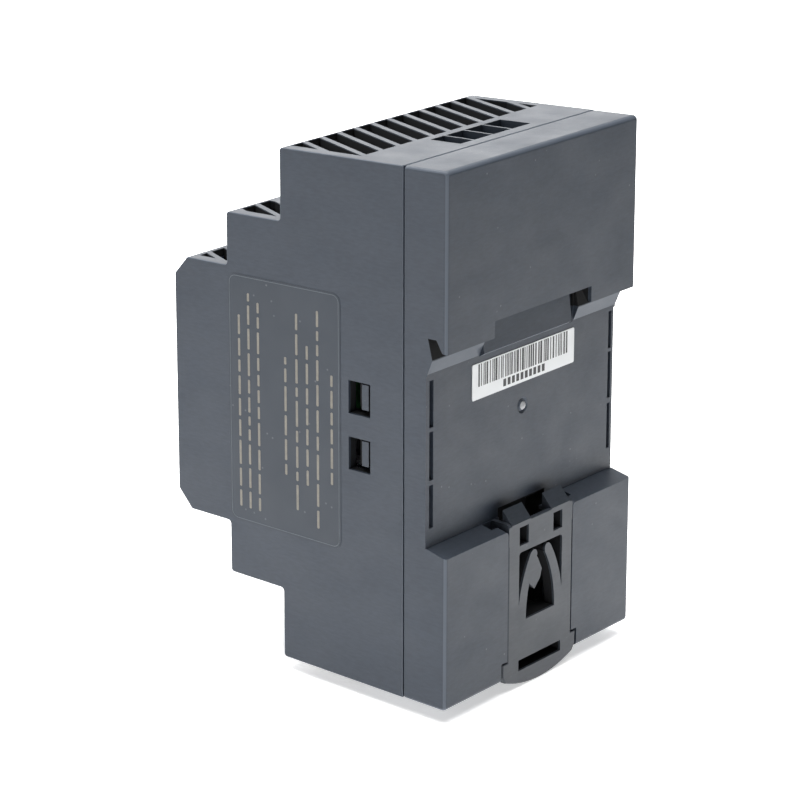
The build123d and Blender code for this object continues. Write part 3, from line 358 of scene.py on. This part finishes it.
def screw_steel(node):
    """Plated steel, brushed head; the driver slot and all behind the head's face get painted shade and are
    dull.
    """
    head_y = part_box(node)[0].y
    rim_y = head_y + 0.05 * MM
    slot_y = head_y + 0.45 * MM
    finish = Finish("screw_steel", srgb(188, 190, 188), 0.40, 1.0)
    finish.cloud(1.4 * MM, 0.10)
    # painted shade: mid grey just behind the head's face, dark in the driver slot and beyond
    finish.paint(finish.between(1, rim_y, slot_y), srgb(120, 121, 120))
    finish.paint(finish.between(1, slot_y, 0), srgb(52, 52, 52), 0.6)
    finish.sheen(0.30 * MM, 0.08)
    finish.grain(0.12 * MM, 0.004 * MM, 2.0)
    return finish.material


def trimmer_nylon():
    """Off-white rotor with painted shade in its cross slot."""
    slot_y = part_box("trimmer_rotor")[0].y + 0.3 * MM
    finish = Finish("trimmer_nylon", srgb(214, 211, 198), 0.45)
    finish.cloud(1.0 * MM, 0.06)
    # painted shade inside the cross slot
    finish.paint(finish.between(1, slot_y, 0), srgb(96, 92, 80), 0.6)
    finish.sheen(0.8 * MM, 0.06)
    finish.grain(0.10 * MM, 0.004 * MM)
    return finish.material


def circuit_board():
    """Green solder mask over copper: straight-sided fields, fine tracks and tinned pads."""
    finish = Finish("circuit_board", srgb(26, 84, 46), 0.34)
    from_middle = finish.cells(4.2 * MM, "CHEBYCHEV").outputs["Distance"]
    finish.paint(finish.remap(from_middle, 0.40, 0.43, 0.0, 0.55), srgb(52, 118, 62))
    finish.paint(finish.remap(from_middle, 0.10, 0.08), srgb(190, 190, 180), 0.3, 0.9)
    finish.cloud(6 * MM, 0.08)
    finish.grain(0.5 * MM, 0.006 * MM)
    return finish.material


def insulating_film():
    """Pale yellowish sheet, slightly wavy."""
    finish = Finish("insulating_film", srgb(214, 208, 180), 0.35)
    finish.cloud(10 * MM, 0.06)
    finish.sheen(4 * MM, 0.08)
    finish.grain(2.0 * MM, 0.02 * MM, 1.0)
    return finish.material


def capacitor_sleeve(node, colour):
    """Shrink sleeve with a pale polarity stripe; the end of each can is bare scored aluminium."""
    low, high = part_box(node)
    radius = (high.z - low.z) / 2
    share_without_gaps = 0.95
    cans = max(1, round((high.x - low.x) / (2 * radius) * share_without_gaps))
    pitch = (high.x - low.x - 2 * radius) / max(1, cans - 1)
    half_stripe = 0.3 * radius
    finish = Finish(f"{node}_sleeve", colour, 0.28)
    finish.cloud(3 * MM, 0.06)
    for number in range(cans):
        centre = low.x + radius + number * pitch
        stripe = finish.between(0, centre - half_stripe, centre + half_stripe)
        upper = finish.between(2, (low.z + high.z) / 2, high.z + MM)
        finish.paint(finish.math("MULTIPLY", stripe, upper), srgb(176, 182, 190))
    end = finish.between(1, low.y - MM, low.y + 0.25 * MM)
    finish.paint(end, srgb(196, 198, 200), 0.35, 1.0)
    finish.sheen(2 * MM, 0.06)
    finish.grain(0.9 * MM, 0.010 * MM, 1.0)
    return finish.material


def ferrite():
    """Dark sintered ferrite with pale grains."""
    finish = Finish("ferrite", srgb(62, 62, 66), 0.5, 0.25)
    finish.cloud(3 * MM, 0.10)
    finish.grain(0.2 * MM, 0.012 * MM, 4.0)
    finish.specks(0.4 * MM, 0.2, srgb(120, 120, 124), 0.4)
    return finish.material


def winding_tape():
    """Overlapping turns of polyester tape: thin darker lines where each turn ends."""
    round_the_coil = (9, 9, 1)
    finish = Finish("winding_tape", srgb(214, 170, 52), 0.25)
    turns = finish.noise(0.9 * MM, 1.0, round_the_coil)
    finish.paint(finish.remap(turns, 0.55, 0.62, 0.0, 0.45), srgb(168, 120, 28))
    finish.cloud(4 * MM, 0.06)
    finish.grain(0.9 * MM, 0.02 * MM, 1.0, round_the_coil)
    return finish.material


def dipped_epoxy(name, colour):
    """Glossy dipped coating with soft bumps."""
    finish = Finish(name, colour, 0.3)
    finish.cloud(1.5 * MM, 0.08)
    finish.grain(1.2 * MM, 0.03 * MM, 2.0)
    finish.sheen(1.0 * MM, 0.06)
    return finish.material


def lay(material, *names):
    """Give whole CAD nodes one material."""
    for name in names:
        mesh = frame["nodes"][name].data
        mesh.materials.clear()
        mesh.materials.append(material)


# housing, foot and labels
lay(housing_plastic(), "front_housing", "rear_cover")
lay(foot_plastic(), "rail_foot")
lay(label_film(), "side_label")
lay(white_paper(), "serial_sticker")
lay(front_film(), "front_label")
lay(clear_plastic(), "light_pipe", "indicator_led")
lay(small_moulding("trimmer_blue", srgb(38, 84, 160)), "trimmer_body")
lay(trimmer_nylon(), "trimmer_rotor")

# terminals
terminal_plastic = small_moulding("terminal_plastic", srgb(48, 51, 56))
lay(terminal_plastic, "output_terminal_block", "input_terminal_block")
tinned_copper = plated_metal("tinned_copper", srgb(206, 200, 186), 0.38, (1, 8, 1))
lay(tinned_copper, "output_contact_bars", "input_contact_bars")
steel = plated_metal("plated_steel", srgb(196, 198, 196), 0.34, (6, 1, 1))
lay(steel, "heatsink_screws", *nodes_with("clamp_cage"))
clamp_screws = nodes_with("clamp_screw")
lay(screw_steel(clamp_screws[0]), *clamp_screws)

# boards and components
lay(circuit_board(), "main_board", "control_board")
black_epoxy = small_moulding("black_epoxy", srgb(38, 38, 40), 0.5)
lay(black_epoxy, "control_chips", "bridge_rectifier", "optocoupler")
lay(black_epoxy, "power_transistor", "output_rectifier", "line_fuse")
lay(insulating_film(), "insulation_sheet")
lay(capacitor_sleeve("bulk_capacitor", srgb(30, 36, 62)), "bulk_capacitor")
lay(capacitor_sleeve("output_capacitors", srgb(34, 40, 44)), "output_capacitors")
lay(small_moulding("film_capacitor", srgb(206, 160, 44)), "line_filter_capacitor")
lay(ferrite(), "transformer_core", "line_filter_core", "output_inductor")
lay(plated_metal("enamelled_copper", srgb(176, 88, 44), 0.24, (1, 1, 4)), "line_filter_windings")
lay(small_moulding("bobbin_plastic", srgb(74, 50, 36), 0.5), "transformer_bobbin")
lay(winding_tape(), "transformer_winding")
lay(dipped_epoxy("varistor_coating", srgb(40, 82, 150)), "varistor", "safety_capacitor")
lay(dipped_epoxy("thermistor_coating", srgb(52, 56, 52)), "inrush_thermistor")
aluminium = plated_metal("aluminium_sheet", srgb(204, 206, 208), 0.3, (1, 1, 7))
lay(aluminium, "primary_heatsink", "output_heatsink")


# ---------------------------------------------------------------- printed marks
def ink(name, colour, roughness=0.6):
    """Printed or laser-marked ink: broken up a little where the grain shows through."""
    finish = Finish(name, colour, roughness)
    finish.cloud(0.8 * MM, 0.10)
    finish.specks(0.3 * MM, 0.5, srgb(92, 94, 98), 0.35)
    finish.grain(0.15 * MM, 0.003 * MM)
    return finish.material


def clipped_bar(u, v, length, height, turn, corner):
    """Outline of a bar with clipped corners, centred on (u, v) and turned by this many radians."""
    largest_share = 0.4
    cut = min(corner, length * largest_share, height * largest_share)
    right, top = length / 2, height / 2
    outline = [
        (-right + cut, -top), (right - cut, -top), (right, -top + cut), (right, top - cut),
        (right - cut, top), (-right + cut, top), (-right, top - cut), (-right, -top + cut),
    ]
    cosine, sine = math.cos(turn), math.sin(turn)
    return [(u + x * cosine - y * sine, v + x * sine + y * cosine) for x, y in outline]


def printed_bars(name, bars, place, material, corner=0.12 * MM, thickness=0.02 * MM):
    """Thin raised bars on the face that place sets, sunk into it a little.

    bars are (u, v, length, height), with an optional turn in radians as a fifth value.
    """
    sunk = thickness * 0.4
    mesh = bmesh.new()
    for u, v, length, height, *turn in bars:
        outline = clipped_bar(u, v, length, height, sum(turn), corner)
        lower = [mesh.verts.new((x, y, -sunk)) for x, y in outline]
        upper = [mesh.verts.new((x, y, thickness)) for x, y in outline]
        mesh.faces.new(upper)
        mesh.faces.new(list(reversed(lower)))
        for index in range(len(outline)):
            after = (index + 1) % len(outline)
            mesh.faces.new((lower[index], lower[after], upper[after], upper[index]))
    data = bpy.data.meshes.new(name)
    mesh.to_mesh(data)
    mesh.free()
    data.transform(place)
    data.materials.append(material)
    piece = bpy.data.objects.new(name, data)
    bpy.context.scene.collection.objects.link(piece)
    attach(piece, case)


def face_place(origin, along, up):
    """Matrix that lays u along one direction and v along another, facing outwards from the surface."""
    along, up = Vector(along), Vector(up)
    out = along.cross(up)
    turn = Matrix((along, up, out)).transposed().to_4x4()
    return Matrix.Translation(origin) @ turn


def word_bars(seed, start, end, line_v, height):
    """A line of word-length dashes from start to end along u."""
    shortest, longest = 1.6, 4.6
    gap = 0.7 * MM
    shortest_rest = 1.2 * MM
    draw = random.Random(seed)
    bars = []
    u = start
    while u < end - shortest_rest:
        length = min(draw.uniform(shortest, longest) * MM, end - u)
        bars.append((u + length / 2, line_v, length, height))
        u += length + gap
    return bars


def side_label_face():
    """Place of the side label's print, with u up the panel, and half its length and breadth."""
    low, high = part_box("side_label")
    centre = (low + high) / 2
    place = face_place((high.x, centre.y, centre.z), (0, 0, 1), (0, -1, 0))
    return place, (high.z - low.z) / 2, (high.y - low.y) / 2


def print_side_label():
    """Rows of dashes that run up the panel."""
    row_height = 0.46 * MM
    # each row's place across the panel in millimetres, and its start and end as shares of half the length
    rows = [
        (9.2, -0.88, 0.70), (7.2, -0.88, 0.86), (5.2, -0.88, 0.80),
        (-0.4, -0.52, 0.42), (-2.7, -0.78, 0.78), (-4.8, -0.56, 0.56), (-6.9, -0.88, 0.88),
        (-9.7, -0.50, 0.36),
    ]
    first_seed = 11
    place, half_length, _ = side_label_face()
    bars = []
    for row, (row_v, first, last) in enumerate(rows):
        bars += word_bars(first_seed + row, first * half_length, last * half_length, row_v * MM, row_height)
    printed_bars("side_label_print", bars, place, ink("tan_ink", srgb(116, 112, 104)))


def print_side_frame():
    """Thin line with rounded corners round the side label, just inside its edge."""
    line = 0.13 * MM
    inset = 0.35 * MM
    corner_radius = 1.25 * MM
    corner_bars = 6
    overlap = 1.1
    place, half_length, half_breadth = side_label_face()
    corner_u = half_length - inset - corner_radius
    corner_v = half_breadth - inset - corner_radius
    bars = [(0, side * (half_breadth - inset), 2 * corner_u, line) for side in (1, -1)]
    bars += [(side * (half_length - inset), 0, line, 2 * corner_v) for side in (1, -1)]
    corner_bar = corner_radius * math.pi / 2 / corner_bars * overlap
    for quarter in range(4):
        for number in range(corner_bars):
            angle = math.radians(90 * (quarter + (number + 0.5) / corner_bars))
            cosine, sine = math.cos(angle), math.sin(angle)
            u = math.copysign(corner_u, cosine) + corner_radius * cosine
            v = math.copysign(corner_v, sine) + corner_radius * sine
            bars.append((u, v, corner_bar, line, angle + math.pi / 2))
    printed_bars("side_label_frame", bars, place, ink("frame_ink", srgb(74, 81, 88)))


def print_sticker():
    """Generic bars of several widths, above a row of short dashes."""
    bar_widths = (0.22, 0.22, 0.38, 0.52)
    bar_gaps = (0.20, 0.20, 0.34, 0.48)
    bar_height = 3.8 * MM
    bar_v = 0.95 * MM
    left_margin, right_margin = 1.6 * MM, 1.9 * MM
    dash_count = 10
    dash_pitch = 1.2 * MM
    dash_length, dash_height = 0.78 * MM, 1.25 * MM
    dash_v = -1.9 * MM
    low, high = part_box("serial_sticker")
    centre = (low + high) / 2
    half_width = (high.x - low.x) / 2
    place = face_place((centre.x, high.y, centre.z), (-1, 0, 0), (0, 0, 1))
    draw = random.Random(5)
    bars = []
    u = -half_width + left_margin
    while u < half_width - right_margin:
        width = draw.choice(bar_widths) * MM
        bars.append((u + width / 2, bar_v, width, bar_height))
        u += width + draw.choice(bar_gaps) * MM
    for number in range(dash_count):
        dash_u = (number - (dash_count - 1) / 2) * dash_pitch
        bars.append((dash_u, dash_v, dash_length, dash_height))
    black_ink = ink("black_ink", srgb(34, 34, 36), 0.5)
    printed_bars("serial_sticker_print", bars, place, black_ink, corner=0.03 * MM)


def front_heading(left, dash_height):
    """A solid band and two rows of dashes under it."""
    band_v = 12.2 * MM
    band_length, band_height = 18.0 * MM, 0.8 * MM
    bars = [(left + band_length / 2, band_v, band_length, band_height)]
    bars += word_bars(seed=31, start=left, end=-2.0 * MM, line_v=9.4 * MM, height=dash_height)
    bars += word_bars(seed=32, start=left, end=-6.0 * MM, line_v=7.6 * MM, height=dash_height)
    return bars


def front_table(left, dash_height):
    """Ruled table of dashes in two columns."""
    rows = 5
    row_pitch = 2.9 * MM
    top = 1.6 * MM
    width = 24.6 * MM
    rule = 0.14 * MM
    column_u = 8.3 * MM
    first_start, first_end = left + 0.6 * MM, -13.2 * MM
    second_start, second_end = -10.8 * MM, 3.2 * MM
    height = row_pitch * rows
    bars = []
    for row in range(rows):
        row_v = top - row_pitch * (row + 0.5)
        bars += word_bars(40 + row, first_start, first_end, row_v, dash_height)
        bars += word_bars(50 + row, second_start, second_end, row_v, dash_height)
    for line in range(rows + 1):
        bars.append((left + width / 2, top - row_pitch * line, width, rule))
    for line_u in (0, column_u, width):
        bars.append((left + line_u, top - height / 2, rule, height))
    return bars


def trimmer_ticks(label_centre):
    """Ticks round the trimmer, over the 270 degrees that it turns."""
    count = 7
    radius = 3.7 * MM
    tick_length, tick_height = 1.0 * MM, 0.3 * MM
    first_angle, sweep = 225, 270
    trimmer = middle("trimmer_rotor") - label_centre
    bars = []
    for tick in range(count):
        angle = math.radians(first_angle - sweep * tick / (count - 1))
        u = trimmer.x + radius * math.cos(angle)
        v = trimmer.z + radius * math.sin(angle)
        bars.append((u, v, tick_length, tick_height, angle))
    return bars


def print_front_label(material):
    """A heading, a table and the trimmer's ticks."""
    left = -20.4 * MM
    dash_height = 0.6 * MM
    centre = middle("front_label")
    face_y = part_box("front_label")[0].y
    place = face_place((centre.x, face_y, centre.z), (1, 0, 0), (0, 0, 1))
    bars = front_heading(left, dash_height) + front_table(left, dash_height) + trimmer_ticks(centre)
    printed_bars("front_label_print", bars, place, material)


def print_polarity_marks(material):
    """A printed face on each raised plus or minus mark above the output screws."""
    mark_z = 38.5 * MM
    standoff = 10 * MM
    bar_length, bar_height = 2.1 * MM, 0.4 * MM
    arm_v, arm_length = 0.63 * MM, 0.85 * MM
    housing = frame["nodes"]["front_housing"]
    for name in nodes_with("output_clamp_screw"):
        mark_x = middle(name).x
        start = Vector((mark_x, cad_low.y - standoff, mark_z))
        touch = housing.ray_cast(start, (0, 1, 0))[1]
        bars = [(0, 0, bar_length, bar_height)]
        if mark_x > 0:
            bars += [(0, side * arm_v, bar_height, arm_length) for side in (1, -1)]
        number = name.rsplit("_", 1)[1]
        printed_bars(f"polarity_print_{number}", bars, face_place(touch, (1, 0, 0), (0, 0, 1)), material)


print_side_label()
print_side_frame()
print_sticker()
pale_ink = ink("pale_ink", srgb(158, 163, 168), 0.5)
print_front_label(pale_ink)
print_polarity_marks(pale_ink)


# ---------------------------------------------------------------- floor, light and camera
def keep_under_foot(floor):
    """Lower the floor with the sliding foot, which is the lowest part, so that the foot never sinks in."""
    driver = floor.driver_add("location", 2).driver
    driver.type = "SCRIPTED"
    drop = driver.variables.new()
    drop.name = "drop"
    drop.type = "TRANSFORMS"
    drop.targets[0].id = frame["nodes"]["rail_foot"]
    drop.targets[0].transform_type = "LOC_Z"
    drop.targets[0].transform_space = "WORLD_SPACE"
    driver.expression = f"{cad_low.z} + min(0, drop)"


def floor_finish():
    """Matt white that glows.

    Seen directly, it brightens into the white backdrop with distance; the light it throws on the
    object comes mostly from close by, as from a lit table.
    """
    finish = Finish("floor_white", (0.93, 0.93, 0.93, 1.0), 0.7)
    finish.cloud(0.4, 0.004)
    brightest_place = (0.09, -0.03, 0)
    seen = finish.remap(finish.distance(), 0.08, 0.40, new_low=0.50, new_high=1.0)
    thrown = finish.remap(finish.distance(brightest_place), 0.10, 0.36, new_low=0.95, new_high=0.08)
    rays = finish.nodes.new("ShaderNodeLightPath")
    finish.set("Emission Color", (1.0, 1.0, 1.0, 1.0))
    finish.set("Emission Strength", finish.mix(rays.outputs["Is Camera Ray"], thrown, seen))
    return finish.material


def pale_floor():
    """Wide round floor under the foot."""
    mesh = bmesh.new()
    bmesh.ops.create_circle(mesh, cap_ends=True, segments=96, radius=6.0)
    data = bpy.data.meshes.new("floor")
    mesh.to_mesh(data)
    mesh.free()
    data.materials.append(floor_finish())
    floor = bpy.data.objects.new("floor", data)
    floor.location.z = cad_low.z
    bpy.context.scene.collection.objects.link(floor)
    keep_under_foot(floor)


def softbox(name, place, size, power):
    """Rectangular lamp aimed at the middle of the rail seat, itself unseen."""
    lamp = bpy.data.lights.new(name, "AREA")
    lamp.shape = "RECTANGLE"
    lamp.size, lamp.size_y = size
    lamp.energy = power
    holder = bpy.data.objects.new(name, lamp)
    holder.location = place
    holder.visible_camera = False
    holder.rotation_euler = (-Vector(place)).to_track_quat("-Z", "Y").to_euler()
    bpy.context.scene.collection.objects.link(holder)


def studio_world(fill, backdrop):
    """Even grey fill light, with a white backdrop where the camera looks past the floor."""
    world = bpy.data.worlds.new("studio")
    bpy.context.scene.world = world
    world.use_nodes = True
    nodes, links = world.node_tree.nodes, world.node_tree.links
    background = nodes["Background"]
    background.inputs["Color"].default_value = (1.0, 1.0, 1.0, 1.0)
    rays = nodes.new("ShaderNodeLightPath")
    strength = nodes.new("ShaderNodeMix")
    links.new(rays.outputs["Is Camera Ray"], strength.inputs["Factor"])
    strength.inputs[VALUE_A].default_value = fill
    strength.inputs[VALUE_B].default_value = backdrop
    links.new(strength.outputs[VALUE_OUT], background.inputs["Strength"])


def shift_at(camera, viewpoint, shift_x, shift_y):
    """Lens shift that holds only while the camera stands at its own viewpoint."""
    fading = 1000            # the shift is gone a millimetre away
    marker = bpy.data.objects.new("viewpoint", None)
    marker.location = viewpoint
    bpy.context.scene.collection.objects.link(marker)
    for field, value in (("shift_x", shift_x), ("shift_y", shift_y)):
        driver = camera.data.driver_add(field).driver
        driver.type = "SCRIPTED"
        gap = driver.variables.new()
        gap.name = "gap"
        gap.type = "LOC_DIFF"
        gap.targets[0].id = camera
        gap.targets[1].id = marker
        driver.expression = f"{value} * max(0, 1 - {fading} * gap)"


def photo_camera():
    """Long lens with strong shift, behind, above and to the labelled side of the object."""
    azimuth, elevation, roll = math.radians(144.74), math.radians(12.66), math.radians(-4.26)
    viewpoint = Vector((343.3, 223.3, 133.9)) * MM
    shift_x, shift_y = 1.0122, -0.264
    back = Vector((
        math.sin(azimuth) * math.cos(elevation),
        -math.cos(azimuth) * math.cos(elevation),
        math.sin(elevation),
    ))
    level = Vector((math.cos(azimuth), math.sin(azimuth), 0))
    upright = back.cross(level)
    right = level * math.cos(roll) + upright * math.sin(roll)
    up = upright * math.cos(roll) - level * math.sin(roll)
    lens = bpy.data.cameras.new("photo_camera")
    lens.sensor_width = 36
    lens.lens = 108.93
    lens.clip_start = 0.01
    camera = bpy.data.objects.new("photo_camera", lens)
    camera.rotation_mode = "QUATERNION"
    camera.rotation_quaternion = Matrix((right, up, back)).transposed().to_quaternion()
    camera.location = viewpoint
    bpy.context.scene.collection.objects.link(camera)
    shift_at(camera, viewpoint, shift_x, shift_y)
    bpy.context.scene.camera = camera


pale_floor()
softbox("overhead", place=(-0.05, -0.12, 0.8), size=(0.9, 0.9), power=17.0)
softbox("side_fill", place=(0.95, -0.45, 0.25), size=(0.7, 0.7), power=3.4)
softbox("front_fill", place=(-0.75, -0.95, 0.42), size=(1.2, 0.8), power=10.0)
studio_world(fill=0.05, backdrop=1.0)
bpy.context.scene.view_settings.view_transform = "Standard"
photo_camera()
